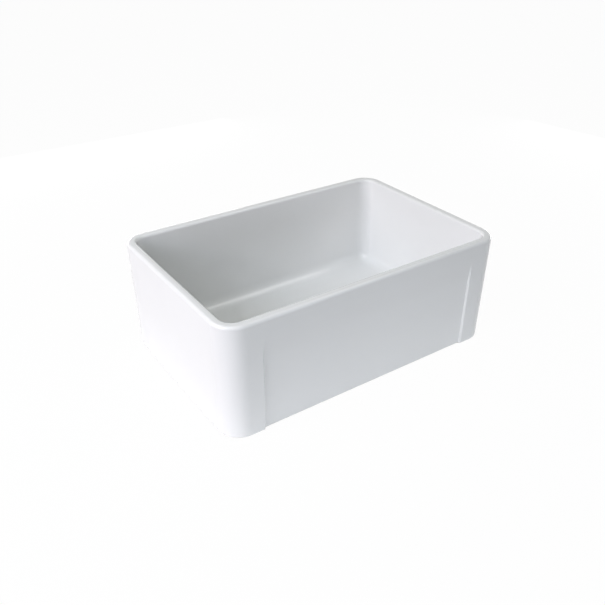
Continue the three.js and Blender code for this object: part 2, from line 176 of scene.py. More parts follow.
def hexagon(acrossFlats, bottom, top, cornerRound):  # a prism with flats towards +X and -X
    bm = bmesh.new()
    base = bmesh.ops.create_circle(bm, cap_ends=True, segments=6, radius=acrossFlats / 2 / hexCosine)
    bmesh.ops.translate(bm, vec=(0, 0, bottom), verts=base["verts"])
    lid = bmesh.ops.extrude_face_region(bm, geom=bm.faces[:])["geom"]
    bmesh.ops.translate(bm, vec=(0, 0, top - bottom), verts=onlyVerts(lid))
    bevelEdges(bm, [e for e in bm.edges if isUpright(e, near)], cornerRound, smallRoundSegments)
    return bm


def bar(bm, inner, outer, width, bottom, top, angle, rounding):  # a radial bar out from the axis
    made = bmesh.ops.create_cube(bm, size=1)["verts"]
    bmesh.ops.scale(bm, vec=(outer - inner, width, top - bottom), verts=made)
    bmesh.ops.translate(bm, vec=((outer + inner) / 2, 0, (top + bottom) / 2), verts=made)
    bmesh.ops.rotate(bm, cent=origin, matrix=Matrix.Rotation(angle, 3, "Z"), verts=made)
    bevelEdges(bm, list({e for v in made for e in v.link_edges}), rounding, barSegments)


def ease(t):
    t = min(max(t, 0), 1)
    return t * t * (3 - 2 * t)


# material helpers

def newMaterial(name):
    material = bpy.data.materials.new(name)
    material.use_nodes = True
    tree = material.node_tree
    return material, tree, tree.nodes["Principled BSDF"]


def objectNoise(tree, scale, detail=3, roughness=0.5, stretch=None):
    place = tree.nodes.new("ShaderNodeTexCoord")
    noise = tree.nodes.new("ShaderNodeTexNoise")
    noise.inputs["Scale"].default_value = scale
    noise.inputs["Detail"].default_value = detail
    noise.inputs["Roughness"].default_value = roughness
    if stretch:
        mapping = tree.nodes.new("ShaderNodeMapping")
        mapping.inputs["Scale"].default_value = stretch
        tree.links.new(place.outputs["Object"], mapping.inputs["Vector"])
        tree.links.new(mapping.outputs["Vector"], noise.inputs["Vector"])
    else:
        tree.links.new(place.outputs["Object"], noise.inputs["Vector"])
    return noise.outputs["Fac"]


def ringNoise(tree, scale, detail=3):  # noise on distance from the drain's axis, as turning leaves
    place = tree.nodes.new("ShaderNodeTexCoord")
    split = tree.nodes.new("ShaderNodeSeparateXYZ")
    flat = tree.nodes.new("ShaderNodeCombineXYZ")
    length = tree.nodes.new("ShaderNodeVectorMath")
    length.operation = "LENGTH"
    ringPlace = tree.nodes.new("ShaderNodeCombineXYZ")
    noise = tree.nodes.new("ShaderNodeTexNoise")
    noise.inputs["Scale"].default_value = scale
    noise.inputs["Detail"].default_value = detail
    tree.links.new(place.outputs["Object"], split.inputs["Vector"])
    tree.links.new(split.outputs["X"], flat.inputs["X"])
    tree.links.new(split.outputs["Y"], flat.inputs["Y"])
    tree.links.new(flat.outputs["Vector"], length.inputs[0])
    tree.links.new(length.outputs["Value"], ringPlace.inputs["X"])
    tree.links.new(split.outputs["Z"], ringPlace.inputs["Z"])
    tree.links.new(ringPlace.outputs["Vector"], noise.inputs["Vector"])
    return noise.outputs["Fac"]


def spread(tree, value, low, high, fromLow=0.3, fromHigh=0.7):
    span = tree.nodes.new("ShaderNodeMapRange")
    span.inputs["From Min"].default_value = fromLow
    span.inputs["From Max"].default_value = fromHigh
    span.inputs["To Min"].default_value = low
    span.inputs["To Max"].default_value = high
    tree.links.new(value, span.inputs["Value"])
    return span.outputs["Result"]


def addColour(tree, shader, value, first, second, fromLow=0.3, fromHigh=0.7):
    ramp = tree.nodes.new("ShaderNodeValToRGB")
    ramp.color_ramp.elements[0].position = fromLow
    ramp.color_ramp.elements[0].color = (*first, 1)
    ramp.color_ramp.elements[1].position = fromHigh
    ramp.color_ramp.elements[1].color = (*second, 1)
    tree.links.new(value, ramp.inputs["Fac"])
    tree.links.new(ramp.outputs["Color"], shader.inputs["Base Color"])


def addRoughness(tree, shader, value, low, high):
    tree.links.new(spread(tree, value, low, high), shader.inputs["Roughness"])


def addBump(tree, shader, value, strength, distance):
    bump = tree.nodes.new("ShaderNodeBump")
    bump.inputs["Strength"].default_value = strength
    bump.inputs["Distance"].default_value = distance
    tree.links.new(value, bump.inputs["Height"])
    tree.links.new(bump.outputs["Normal"], shader.inputs["Normal"])


# finishes; every scale is per metre, every height in metres

glaze = {
    "thick": (0.872, 0.875, 0.88),
    "thin": (0.855, 0.858, 0.862),
    "patchScale": 5,  # patches of thicker and thinner glaze
    "speckleScale": 60,
    "waveScale": 9,  # slow waves left by the mould
    "waveHeight": 0.0006,
    "waveStrength": 0.5,
    "roughness": (0.1, 0.14),
    "coat": 0.25,
    "coatRoughness": 0.03,
}


def makeGlaze():
    material, tree, shader = newMaterial("fireclayGlaze")
    patches = objectNoise(tree, glaze["patchScale"], detail=4)
    addColour(tree, shader, patches, glaze["thin"], glaze["thick"])
    speckle = objectNoise(tree, glaze["speckleScale"], detail=5)
    addRoughness(tree, shader, speckle, *glaze["roughness"])
    waves = objectNoise(tree, glaze["waveScale"], detail=1)
    addBump(tree, shader, waves, glaze["waveStrength"], glaze["waveHeight"])
    shader.inputs["Coat Weight"].default_value = glaze["coat"]
    shader.inputs["Coat Roughness"].default_value = glaze["coatRoughness"]
    return material


bareClay = {
    "pale": (0.74, 0.7, 0.63),
    "dark": (0.62, 0.57, 0.49),
    "blend": (0.35, 0.6),
    "grogScale": 900,  # sandy grains of fired clay
    "grogHeight": 0.0002,
    "grogStrength": 0.8,
    "cloudScale": 40,
    "roughness": (0.82, 0.95),
}


def makeBareClay():  # the underside, where the glaze is wiped off before firing
    material, tree, shader = newMaterial("bareClay")
    grog = objectNoise(tree, bareClay["grogScale"], detail=4, roughness=0.7)
    addColour(tree, shader, grog, bareClay["dark"], bareClay["pale"], *bareClay["blend"])
    clouds = objectNoise(tree, bareClay["cloudScale"])
    addRoughness(tree, shader, clouds, *bareClay["roughness"])
    addBump(tree, shader, grog, bareClay["grogStrength"], bareClay["grogHeight"])
    return material


steel = {
    "bright": (0.66, 0.66, 0.665),
    "dull": (0.58, 0.58, 0.59),
    "smearScale": 90,
    "turningScale": 2600,
    "roughness": (0.1, 0.22),
    "markHeight": 0.00002,
    "markStrength": 0.4,
}


def makeSteel():
    material, tree, shader = newMaterial("polishedSteel")
    marks = ringNoise(tree, steel["turningScale"])
    smears = objectNoise(tree, steel["smearScale"], detail=4)
    addColour(tree, shader, smears, steel["dull"], steel["bright"])
    addRoughness(tree, shader, marks, *steel["roughness"])
    addBump(tree, shader, marks, steel["markStrength"], steel["markHeight"])
    shader.inputs["Metallic"].default_value = 1
    return material


zinc = {
    "bright": (0.52, 0.53, 0.54),
    "dull": (0.38, 0.39, 0.4),
    "cloudScale": 60,
    "skinScale": 700,  # pebbled skin from the die
    "skinHeight": 0.0001,
    "skinStrength": 0.5,
    "roughness": (0.38, 0.58),
}


def makeZinc():
    material, tree, shader = newMaterial("castZinc")
    clouds = objectNoise(tree, zinc["cloudScale"], detail=5)
    skin = objectNoise(tree, zinc["skinScale"])
    addColour(tree, shader, clouds, zinc["dull"], zinc["bright"])
    addRoughness(tree, shader, skin, *zinc["roughness"])
    addBump(tree, shader, skin, zinc["skinStrength"], zinc["skinHeight"])
    shader.inputs["Metallic"].default_value = 1
    return material


brass = {
    "bright": (0.78, 0.6, 0.3),
    "dull": (0.6, 0.43, 0.2),
    "tarnishScale": 120,
    "turningScale": 1800,
    "roughness": (0.24, 0.42),
    "markHeight": 0.00003,
    "markStrength": 0.5,
}


def makeBrass():
    material, tree, shader = newMaterial("turnedBrass")
    tarnish = objectNoise(tree, brass["tarnishScale"], detail=5, roughness=0.6)
    marks = ringNoise(tree, brass["turningScale"])
    addColour(tree, shader, tarnish, brass["dull"], brass["bright"])
    addRoughness(tree, shader, marks, *brass["roughness"])
    addBump(tree, shader, marks, brass["markStrength"], brass["markHeight"])
    shader.inputs["Metallic"].default_value = 1
    return material


rubber = {
    "deep": (0.018, 0.018, 0.019),
    "bloom": (0.045, 0.045, 0.047),  # grey bloom on the surface
    "blend": (0.45, 0.75),
    "bloomScale": 140,
    "grainScale": 1500,
    "grainHeight": 0.00005,
    "grainStrength": 0.5,
    "roughness": (0.55, 0.78),
}


def makeRubber():
    material, tree, shader = newMaterial("blackRubber")
    bloom = objectNoise(tree, rubber["bloomScale"], detail=5, roughness=0.65)
    grain = objectNoise(tree, rubber["grainScale"], detail=2)
    addColour(tree, shader, bloom, rubber["deep"], rubber["bloom"], *rubber["blend"])
    addRoughness(tree, shader, bloom, *rubber["roughness"])
    addBump(tree, shader, grain, rubber["grainStrength"], rubber["grainHeight"])
    return material


putty = {
    "pale": (0.6, 0.58, 0.52),
    "dark": (0.5, 0.47, 0.41),
    "lumpScale": 260,
    "lumpHeight": 0.0003,
    "lumpStrength": 0.6,
    "roughness": (0.62, 0.85),
}


def makePutty():
    material, tree, shader = newMaterial("sealingPutty")
    lumps = objectNoise(tree, putty["lumpScale"])
    addColour(tree, shader, lumps, putty["dark"], putty["pale"])
    addRoughness(tree, shader, lumps, *putty["roughness"])
    addBump(tree, shader, lumps, putty["lumpStrength"], putty["lumpHeight"])
    return material


fibre = {
    "pale": (0.46, 0.33, 0.2),
    "dark": (0.26, 0.17, 0.095),
    "strandScale": 500,
    "strandStretch": (1, 0.25, 1),  # strands lie along Y
    "strandHeight": 0.0001,
    "strandStrength": 0.7,
    "roughness": (0.78, 0.95),
}


def makeFibre():
    material, tree, shader = newMaterial("pressedFibre")
    strands = objectNoise(tree, fibre["strandScale"], detail=5, roughness=0.7,
                          stretch=fibre["strandStretch"])
    addColour(tree, shader, strands, fibre["dark"], fibre["pale"])
    addRoughness(tree, shader, strands, *fibre["roughness"])
    addBump(tree, shader, strands, fibre["strandStrength"], fibre["strandHeight"])
    return material


nylon = {
    "pale": (0.8, 0.79, 0.74),
    "dark": (0.7, 0.68, 0.61),
    "cloudScale": 70,
    "skinScale": 1200,
    "skinHeight": 0.00004,
    "skinStrength": 0.4,
    "roughness": (0.34, 0.5),
}


def makeNylon():
    material, tree, shader = newMaterial("whiteNylon")
    clouds = objectNoise(tree, nylon["cloudScale"])
    skin = objectNoise(tree, nylon["skinScale"], detail=2)
    addColour(tree, shader, clouds, nylon["dark"], nylon["pale"])
    addRoughness(tree, shader, skin, *nylon["roughness"])
    addBump(tree, shader, skin, nylon["skinStrength"], nylon["skinHeight"])
    return material


fireclayGlaze = makeGlaze()
clayUnderside = makeBareClay()
polishedSteel = makeSteel()
castZinc = makeZinc()
turnedBrass = makeBrass()
blackRubber = makeRubber()
sealingPutty = makePutty()
pressedFibre = makeFibre()
whiteNylon = makeNylon()
print("mixed the finishes")


# basin

basin = {
    "rimWidth": 0.020,
    "outerCorner": 0.048,
    "cornerSegments": 24,
    "outerTaper": 0.0034,  # lean of each outer wall, rim to foot
    "innerTaper": 0.004,
    "rimOuterRound": 0.007,
    "rimInnerRound": 0.0065,
    "rimSegments": 8,
    "footRound": 0.005,
    "footSegments": 6,
    "floorThickness": 0.025,
    "floorRound": 0.0265,
    "floorSegments": 12,
    "floorFall": 0.0025,
    "floorColumns": 24,
    "floorRows": 16,
    "floorSquareness": 4,  # 2 makes the fall's level lines oval, more makes them squarer
    "bandWidth": 0.038,
    "relief": 0.003,
    "reliefSlope": 0.004,
    "glazedFoot": 0.0048,  # glaze that wraps under the foot before the bare clay
    "bareSlope": 0.3,  # how far a bare face has to look down
    "sharpAngle": 60,
}

panel = {
    "legWidth": 0.0795,
    "topGap": 0.036,
    "fadeLength": 0.054,
    "fadeDepth": 0.0034,
    "footDepth": 0.005,
    "stepWidth": 0.004,
    "stepCuts": 8,
    "fadeCuts": 12,
    "reach": 0.0095,  # behind the apron's face, in front of everything else
}

drain = {
    "radius": 0.045,
    "seatRadius": 0.059,
    "seatLevel": 0.0185,
    "lipRound": 0.002,
    "lipPoints": 5,
    "lipStep": 15,  # degrees
    "lipRun": 0.004,  # the lip's last slope, past the floor's surface
    "lipRise": 0.0025,
    "floorAtSeat": 0.0232,  # height of the fallen floor where the recess meets it
    "cutBottom": -0.01,
    "cutTop": 0.05,
}


def panelDepth(x, z, basinLow, basinHigh):
    below = basinHigh.z - panel["topGap"] - z
    if below <= 0:
        return 0
    inside = basinHigh.x - panel["legWidth"] - abs(x)
    fade = ease(below / panel["fadeLength"])
    lean = below / (basinHigh.z - panel["topGap"] - basinLow.z)
    depth = panel["fadeDepth"] * fade + (panel["footDepth"] - panel["fadeDepth"]) * lean
    return depth * ease(inside / panel["stepWidth"])


def sinkPanel(bm, basinLow, basinHigh):  # sets the apron back between its legs
    apronBack = basinLow.y + panel["reach"]

    def frontFaces():
        centres = [(f, f.calc_center_median()) for f in bm.faces]
        return [f for f, c in centres
                if c.y < apronBack and c.z < basinHigh.z - basin["rimOuterRound"]
                and abs(c.x) < basinHigh.x - basin["outerCorner"]]

    legEdge = basinHigh.x - panel["legWidth"]
    for side in (-1, 1):
        for i in range(panel["stepCuts"] + 1):
            x = side * (legEdge - panel["stepWidth"] * i / panel["stepCuts"])
            bisectAt(bm, frontFaces(), (x, 0, 0), (1, 0, 0))
    panelTop = basinHigh.z - panel["topGap"]
    for i in range(panel["fadeCuts"] + 1):
        z = panelTop - panel["fadeLength"] * i / panel["fadeCuts"]
        bisectAt(bm, frontFaces(), (0, 0, z), up)
    for v in bm.verts:
        if v.co.y < apronBack:
            v.co.y += panelDepth(v.co.x, v.co.z, basinLow, basinHigh)


def facesUpAt(bm, level):
    return [f for f in bm.faces
            if abs(f.calc_center_median().z - level) < near and f.normal.z > steep]


def slopeFloor(bm, floor):  # lets the floor fall gently to the drain
    halfX = max(v.co.x for v in floor.verts)
    halfY = max(v.co.y for v in floor.verts)
    level = floor.calc_center_median().z
    columns, rows, power = basin["floorColumns"], basin["floorRows"], basin["floorSquareness"]
    for i in range(1, columns):
        bisectAt(bm, facesUpAt(bm, level), (halfX * (2 * i / columns - 1), 0, 0), (1, 0, 0))
    for i in range(1, rows):
        bisectAt(bm, facesUpAt(bm, level), (0, halfY * (2 * i / rows - 1), 0), (0, 1, 0))
    for v in {v for f in facesUpAt(bm, level) for v in f.verts}:
        out = min(((v.co.x / halfX) ** power + (v.co.y / halfY) ** power) ** (1 / power), 1)
        v.co.z -= basin["floorFall"] * (1 - out) * ease(2 * (1 - out))


def buildBasin():
    low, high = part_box("fireclay_basin")
    size = high - low
    bm = bmesh.new()
    bmesh.ops.create_cube(bm, size=1)
    bmesh.ops.scale(bm, vec=size, verts=bm.verts)
    bmesh.ops.translate(bm, vec=(low + high) / 2, verts=bm.verts)
    uprights = [e for e in bm.edges if isUpright(e, size.z / 2)]
    bevelEdges(bm, uprights, basin["outerCorner"], basin["cornerSegments"])

    # outer walls lean in to the foot
    lean = 1 - 2 * basin["outerTaper"] / size.x, 1 - 2 * basin["outerTaper"] / size.y, 1
    bmesh.ops.scale(bm, vec=lean, verts=[v for v in bm.verts if v.co.z < low.z + size.z / 2])

    # rim, then the bowl pushed down inside it
    top = max(bm.faces, key=lambda f: f.calc_center_median().z)
    bmesh.ops.inset_region(bm, faces=[top], thickness=basin["rimWidth"], use_even_offset=True)
    floor = bmesh.ops.extrude_discrete_faces(bm, faces=[top])["faces"][0]
    bmesh.ops.translate(bm, vec=(0, 0, basin["floorThickness"] - size.z), verts=floor.verts)
    innerX = size.x - 2 * basin["rimWidth"]
    innerY = size.y - 2 * basin["rimWidth"]
    narrow = 1 - 2 * basin["innerTaper"] / innerX, 1 - 2 * basin["innerTaper"] / innerY, 1
    bmesh.ops.scale(bm, vec=narrow, verts=floor.verts)

    # underside: a flat band to stand on, and the relief inside it
    under = min(bm.faces, key=lambda f: f.calc_center_median().z)
    footEdges = list(under.edges)
    bmesh.ops.inset_region(bm, faces=[under], thickness=basin["bandWidth"], use_even_offset=True)
    bmesh.ops.inset_region(bm, faces=[under], thickness=basin["reliefSlope"],
                           depth=-basin["relief"], use_even_offset=True)

    def isWall(face):
        return abs(face.normal.z) < steep

    def looksOut(face):
        return isWall(face) and face.normal.dot(face.calc_center_median() * Vector((1, 1, 0))) > 0

    # roundings
    rimEdges = [e for e in bm.edges if all(abs(v.co.z - high.z) < near for v in e.verts)
                and any(isWall(f) for f in e.link_faces)]
    outerRim = [e for e in rimEdges if any(looksOut(f) for f in e.link_faces)]
    innerRim = [e for e in rimEdges if e not in outerRim]
    for edges, rounding, segments in (
            (list(floor.edges), basin["floorRound"], basin["floorSegments"]),
            (outerRim, basin["rimOuterRound"], basin["rimSegments"]),
            (innerRim, basin["rimInnerRound"], basin["rimSegments"]),
            (footEdges, basin["footRound"], basin["footSegments"])):
        bevelEdges(bm, [e for e in edges if e.is_valid], rounding, segments)

    sinkPanel(bm, low, high)
    slopeFloor(bm, max(facesUpAt(bm, basin["floorThickness"]), key=lambda f: f.calc_area()))
    piece = addObject("fireclayBasin", bm)
    cutDrain(piece)

    glazed = basin["outerTaper"] + basin["glazedFoot"]
    for face in piece.data.polygons:  # bare clay where it stands on the cabinet
        under = face.normal.z < -basin["bareSlope"] and face.center.z < basin["relief"] + near
        face.material_index = int(under and abs(face.center.x) < high.x - glazed
                                  and abs(face.center.y) < high.y - glazed)
    dress(piece, [fireclayGlaze, clayUnderside], "sink", "fireclay_basin",
          angle=basin["sharpAngle"])


def cutDrain(piece):  # bore and flange recess, with a softly rounded lip
    d = drain
    lip = d["lipRound"]
    angles = [math.radians(180 - d["lipStep"] * i) for i in range(d["lipPoints"])]
    flare = [(d["seatRadius"] + lip + lip * math.cos(a), d["floorAtSeat"] - lip + lip * math.sin(a), 0)
             for a in angles]
    past = flare[-1][0] + d["lipRun"]
    bm = bmesh.new()
    turn(bm, [(0, d["cutBottom"], 0), (d["radius"], d["cutBottom"], 0),
              (d["radius"], d["seatLevel"], 0), (d["seatRadius"], d["seatLevel"], 0), *flare,
              (past, flare[-1][1] + d["lipRise"], 0), (past, d["cutTop"], 0), (0, d["cutTop"], 0)],
         closed=False)
    carve(piece, bm)


buildBasin()


# strainer body

strainer = {
    "flangeRadius": 0.057,
    "flangeBottom": 0.0206,
    "flangeTop": 0.0221,
    "flangeSlope": 0.0024,  # width of the flange's sloping edge
    "flangeEdge": 0.0006,  # and its height
    "flangeTopRound": 0.0008,
    "flangeRound": 0.0002,
    "flangeEdgeRound": 0.0003,
    "mouthLevel": 0.0212,
    "mouthRound": 0.0025,
    "neckRound": 0.0025,
    "cupInner": 0.0407,
    "cupOuter": 0.0418,
    "cupEnd": -0.0162,
    "cupEndRound": 0.0006,
    "cupBend": (0.0011, -0.0177),  # how far in from the cup's outside, and its height
    "cupBendRound": 0.0009,
    "dishEdge": -0.0159,
    "dishRound": 0.002,
    "outletMeet": -0.0230,  # where the outlet meets the dish from below
    "outletMeetRound": 0.0015,
    "outletTop": -0.0219,
    "outletInner": 0.0185,
    "outletOuter": 0.0228,
    "outletEnd": -0.0499,
    "outletRounds": (0.0003, 0.0005),  # inner and outer edge of its end
    "guideSeat": 0.020,
    "guideSeatRound": 0.0005,
    "guideLedge": -0.0302,
    "guideLedgeRound": 0.0002,
    "cupThread": {"root": 0.0417, "crest": 0.0425, "bottom": -0.0155, "top": 0.0165,
                  "pitch": 0.0023},
    "outletThread": {"root": 0.0227, "crest": 0.0237, "bottom": -0.0497, "top": -0.0262,
                     "pitch": 0.0022},
}


def buildStrainer():
    s = strainer
    bendInset, bendLevel = s["cupBend"]
    innerRound, outerRound = s["outletRounds"]
    bm = bmesh.new()
    turn(bm, [
        (s["outletInner"], s["outletEnd"], innerRound),
        (s["outletOuter"], s["outletEnd"], outerRound),
        (s["outletOuter"], s["outletMeet"], s["outletMeetRound"]),
        (s["cupOuter"] - bendInset, bendLevel, s["cupBendRound"]),
        (s["cupOuter"], s["cupEnd"], s["cupEndRound"]),
        (s["cupOuter"], s["flangeBottom"], s["neckRound"]),
        (s["flangeRadius"], s["flangeBottom"], s["flangeRound"]),
        (s["flangeRadius"], s["flangeTop"] - s["flangeEdge"], s["flangeEdgeRound"]),
        (s["flangeRadius"] - s["flangeSlope"], s["flangeTop"], s["flangeTopRound"]),
        (s["cupInner"], s["mouthLevel"], s["mouthRound"]),
        (s["cupInner"], s["dishEdge"], s["dishRound"]),
        (s["guideSeat"], s["outletTop"], s["guideSeatRound"]),
        (s["guideSeat"], s["guideLedge"], 0),
        (s["outletInner"], s["guideLedge"], s["guideLedgeRound"]),
    ])
    addThread(bm, **s["cupThread"])
    addThread(bm, **s["outletThread"])
    dress(addObject("strainerBody", bm), [polishedSteel], "sink", "strainer_body")


buildStrainer()


# seals between strainer and basin

def ringSection(inner, outer, low, high, rounds):
    # rounds are of the inner lower, outer lower, outer upper and inner upper edge
    return list(zip((inner, outer, outer, inner), (low, low, high, high), rounds))


seals = {
    "puttyInner": 0.046,
    "puttyOuter": 0.056,
    "puttyRound": 0.0007,
    "ringBore": 0.0429,
    "gasketOuter": 0.0565,
    "gasketRound": 0.001,
    "gasketBoreRound": 0.0003,
    "gasketGrooves": (0.0525, 0.0495, 0.0465),  # middles of the grooves moulded in its top
    "grooveWidth": 0.0012,
    "grooveFloor": 0.6,  # share of the width
    "grooveDepth": 0.0004,
    "frictionOuter": 0.0555,
    "frictionRound": 0.0001,
}


def buildPutty():
    low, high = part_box("flange_putty")
    rounds = [seals["puttyRound"]] * 4
    ring = turned("flangePutty", ringSection(seals["puttyInner"], seals["puttyOuter"],
                                             low.z, high.z, rounds))
    dress(ring, [sealingPutty], "sink", "flange_putty")


def buildGasket():
    low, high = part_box("sink_gasket")
    s = seals
    half = s["grooveWidth"] / 2
    inset = half * s["grooveFloor"]
    bottom = high.z - s["grooveDepth"]
    grooves = [corner for middle in s["gasketGrooves"] for corner in (
        (middle + half, high.z, 0), (middle + inset, bottom, 0),
        (middle - inset, bottom, 0), (middle - half, high.z, 0))]
    ring = turned("sinkGasket", [
        (s["ringBore"], low.z, s["gasketBoreRound"]), (s["gasketOuter"], low.z, s["gasketRound"]),
        (s["gasketOuter"], high.z, s["gasketRound"]), *grooves,
        (s["ringBore"], high.z, s["gasketBoreRound"])])
    dress(ring, [blackRubber], "sink", "sink_gasket")


def buildFrictionRing():
    low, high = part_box("friction_ring")
    rounds = [seals["frictionRound"]] * 4
    ring = turned("frictionRing", ringSection(seals["ringBore"], seals["frictionOuter"],
                                              low.z, high.z, rounds))
    dress(ring, [pressedFibre], "sink", "friction_ring")


buildPutty()
buildGasket()
buildFrictionRing()


# locknut

locknut = {
    "bore": 0.0429,
    "collar": 0.049,
    "outer": 0.0565,
    "flange": 0.004,
    "shoulderRound": 0.0012,
    "castRound": 0.0006,
    "lugs": 6,
    "lugWidth": 0.010,
    "lugInset": 0.001,
    "lugRound": 0.0011,
}


def buildLocknut():
    low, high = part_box("locknut")
    n = locknut
    rounding = n["castRound"]
    shoulder = high.z - n["flange"]
    piece = turned("locknutCasting", [
        (n["bore"], low.z, rounding), (n["collar"], low.z, rounding),
        (n["collar"], shoulder, n["shoulderRound"]), (n["outer"], shoulder, rounding),
        (n["outer"], high.z, rounding), (n["bore"], high.z, rounding)])
    for i in range(n["lugs"]):
        bm = bmesh.new()
        bar(bm, (n["collar"] + n["bore"]) / 2, n["outer"] - n["lugInset"], n["lugWidth"],
            low.z + n["lugInset"], high.z - n["lugInset"], fullTurn * i / n["lugs"], n["lugRound"])
        carve(piece, bm, "UNION")
    dress(piece, [castZinc], "sink", "locknut")


buildLocknut()


# tailpiece and its coupling

tailpiece = {
    "bore": 0.01805,
    "outer": 0.01905,
    "flange": 0.0225,
    "flangeThickness": 0.0016,
    "flangeRound": 0.0004,
    "neckRound": 0.0012,
    "endRound": 0.0003,
}


def buildTailpiece():
    low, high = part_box("tailpiece")
    t = tailpiece
    neck = high.z - t["flangeThickness"]
    pipe = turned("tailpiecePipe", [
        (t["bore"], low.z, t["endRound"]), (t["outer"], low.z, t["endRound"]),
        (t["outer"], neck, t["neckRound"]), (t["flange"], neck, t["flangeRound"]),
        (t["flange"], high.z, t["flangeRound"]), (t["bore"], high.z, t["neckRound"])])
    dress(pipe, [polishedSteel], "sink", "tailpiece")


couplingWasher = {
    "rounds": (0.0003, 0.0006, 0.0003, 0.0003),
}


def buildCouplingWasher():
    low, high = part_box("coupling_washer")
    ring = turned("couplingWasher", ringSection(strainer["outletInner"], high.x, low.z, high.z,
                                                couplingWasher["rounds"]))
    dress(ring, [whiteNylon], "sink", "coupling_washer")


couplingNut = {
    "acrossFlats": 0.056,
    "cornerRound": 0.0008,
    "faceRound": 0.0006,
    "chamferRound": 0.001,
    "lip": 0.003,
    "upperBore": 0.0241,
    "upperLead": (0.0012, 0.0006),  # the bore's chamfer: how much wider it gets, and its depth
    "lowerBore": 0.01945,
    "lowerLead": (0.0006, 0.0004),
}


def buildCouplingNut():
    low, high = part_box("coupling_nut")
    n = couplingNut
    flat = n["acrossFlats"] / 2
    corner = flat / hexCosine
    chamfer = corner - flat
    nut = turned("couplingNut", [
        (0, low.z, 0), (flat, low.z, n["faceRound"]), (corner, low.z + chamfer, n["chamferRound"]),
        (corner, high.z - chamfer, n["chamferRound"]), (flat, high.z, n["faceRound"]),
        (0, high.z, 0)], closed=False)
    bottom, top, ledge = low.z - pastFace, high.z + pastFace, low.z + n["lip"]
    carve(nut, hexagon(n["acrossFlats"], bottom, top, n["cornerRound"]), "INTERSECT")
    lowerWiden, lowerDepth = n["lowerLead"]
    upperWiden, upperDepth = n["upperLead"]
    bm = bmesh.new()
    turn(bm, [(0, bottom, 0), (n["lowerBore"] + lowerWiden, bottom, 0),
              (n["lowerBore"], low.z + lowerDepth, 0), (n["lowerBore"], ledge, 0),
              (n["upperBore"], ledge, 0), (n["upperBore"], high.z - upperDepth, 0),
              (n["upperBore"] + upperWiden, top, 0), (0, top, 0)], closed=False)
    carve(nut, bm)
    dress(nut, [turnedBrass], "sink", "coupling_nut")


buildTailpiece()
buildCouplingWasher()
buildCouplingNut()


# post guide

guide = {
    "outer": 0.0196,
    "inner": 0.0178,
    "hub": 0.007,
    "hubBore": 0.00535,
    "arms": 4,
    "armWidth": 0.003,
    "armInset": 0.0002,
    "armStart": 0.8,  # share of the hub's radius at which an arm starts
    "edgeRound": 0.0003,
}


def buildGuide():
    low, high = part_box("post_guide")
    g = guide
    rounds = [g["edgeRound"]] * 4
    spider = turned("postGuide", ringSection(g["inner"], g["outer"], low.z, high.z, rounds))
    for i in range(g["arms"]):
        bm = bmesh.new()
        bar(bm, g["hub"] * g["armStart"], (g["inner"] + g["outer"]) / 2, g["armWidth"],
            low.z + g["armInset"], high.z - g["armInset"], fullTurn * i / g["arms"], g["edgeRound"])
        carve(spider, bm, "UNION")
    bm = bmesh.new()
    turn(bm, ringSection(g["hubBore"], g["hub"], low.z, high.z, rounds), steps=boreSteps)
    carve(spider, bm, "UNION")
    dress(spider, [polishedSteel], "sink", "post_guide")


buildGuide()


# basket

basket = {
    "bore": 0.0044,
    "boreRound": 0.0002,
    "footRadius": 0.0290,  # where the wall's line meets the bottom
    "footRound": 0.003,
    "innerFootRound": 0.002,
    "wallFoot": 0.030,
    "wallTop": 0.0369,
    "wallTopRounds": (0.0005, 0.001),  # under the lip and inside it
    "lipRadius": 0.0395,
    "lipRounds": (0.0003, 0.0005),  # lower and upper edge
    "sheet": 0.0012,
    "punchDepth": 0.0048,
    "sideRows": 3,
    "sideHoles": 16,
    "sideHoleRadius": 0.0018,
    "sideHoleFacets": 16,
    "rowStart": 0.75,  # rows of holes up the wall, in spacings
    "rowMargin": 0.5,
    "bottomHoles": 12,
    "bottomHoleRadius": 0.0022,
    "bottomHoleFacets": 20,
    "bottomCircle": 0.020,
}


def punchHole(bm, radius, facets, place):
    bmesh.ops.create_cone(bm, cap_ends=True, segments=facets, radius1=radius, radius2=radius,
                          depth=basket["punchDepth"], matrix=place)


